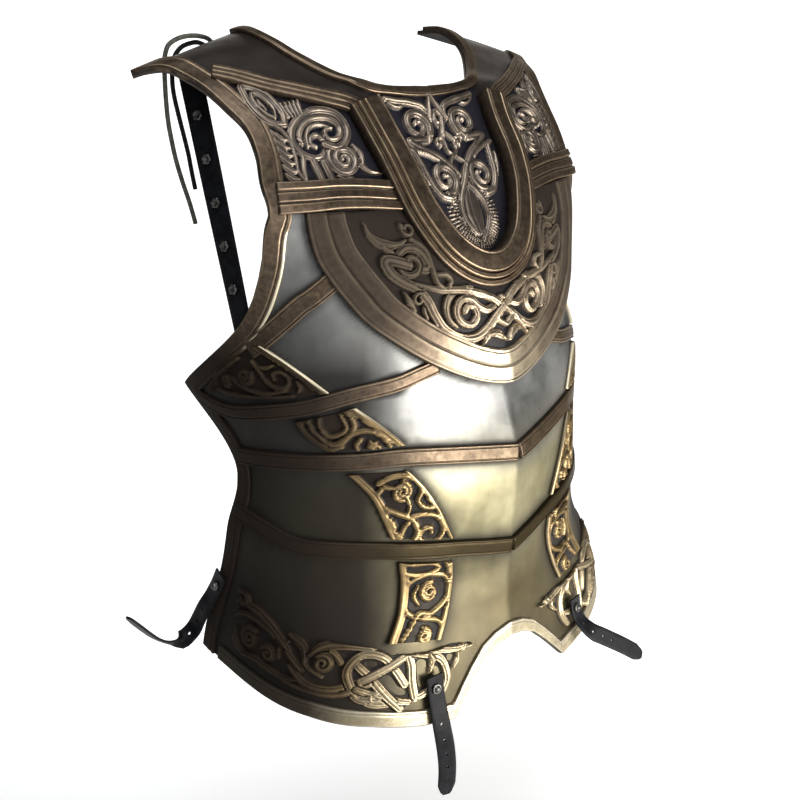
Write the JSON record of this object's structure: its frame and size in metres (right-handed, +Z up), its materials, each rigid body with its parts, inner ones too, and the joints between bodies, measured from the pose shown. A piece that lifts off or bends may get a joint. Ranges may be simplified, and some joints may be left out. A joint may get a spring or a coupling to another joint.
{
  "type": "steel breastplate",
  "caption": "Moulded steel breastplate with stepped neck band, crescent collar, waist bands, scrollwork panels and riveted leather straps; hollow behind for a wearer's torso.",
  "frame": {"origin": "midway between the two shoulders, level with their undersides, where the plate hangs on its wearer", "axes": "+Z up; the front faces -Y; the wearer's right is -X"},
  "size_m": [0.5688, 0.2805, 0.6706],
  "materials": {
    "plate_steel": "antiqued, satin",
    "banding_bronze": "bronzed, satin",
    "relief_bronze": "bronzed, rubbed bright on its edges",
    "strap_leather": "matte",
    "stud_steel": "satin",
    "lace_leather": "matte"
  },
  "bodies": {
    "root": {"bib": "banding_bronze", "bib_relief": "relief_bronze", "breast_shell": "plate_steel", "chest_strap_lower_left": "banding_bronze", "chest_strap_lower_right": "banding_bronze", "chest_strap_upper_left": "banding_bronze", "chest_strap_upper_right": "banding_bronze", "edge_rim_left": "banding_bronze", "edge_rim_right": "banding_bronze", "harness_strap_left": "strap_leather", "harness_strap_right": "strap_leather", "harness_stud_left_1": "stud_steel", "harness_stud_left_2": "stud_steel", "harness_stud_left_3": "stud_steel", "harness_stud_left_4": "stud_steel", "harness_stud_left_5": "stud_steel", "harness_stud_right_1": "stud_steel", "harness_stud_right_2": "stud_steel", "harness_stud_right_3": "stud_steel", "harness_stud_right_4": "stud_steel", "harness_stud_right_5": "stud_steel", "hem_border": "plate_steel", "hem_relief_left": "relief_bronze", "hem_relief_right": "relief_bronze", "hem_rivet_left": "stud_steel", "hem_rivet_right": "stud_steel", "hem_strap_left": "strap_leather", "hem_strap_right": "strap_leather", "lace_cord_long": "lace_leather", "lace_cord_short": "lace_leather", "neck_panel": "relief_bronze", "neck_rim": "banding_bronze", "neck_u_band": "banding_bronze", "scroll_panel_1_left": "relief_bronze", "scroll_panel_1_right": "relief_bronze", "scroll_panel_2_left": "relief_bronze", "scroll_panel_2_right": "relief_bronze", "scroll_panel_3_left": "relief_bronze", "scroll_panel_3_right": "relief_bronze", "scroll_panel_4_left": "relief_bronze", "scroll_panel_4_right": "relief_bronze", "shoulder_bar_left": "banding_bronze", "shoulder_bar_right": "banding_bronze", "shoulder_moulding_left": "banding_bronze", "shoulder_moulding_right": "banding_bronze", "shoulder_relief_left": "relief_bronze", "shoulder_relief_right": "relief_bronze", "side_rivet_left": "stud_steel", "side_rivet_right": "stud_steel", "side_strap_left": "strap_leather", "side_strap_right": "strap_leather", "waist_strap_lower_left": "banding_bronze", "waist_strap_lower_right": "banding_bronze", "waist_strap_upper_left": "banding_bronze", "waist_strap_upper_right": "banding_bronze"}
  },
  "joints": []
}
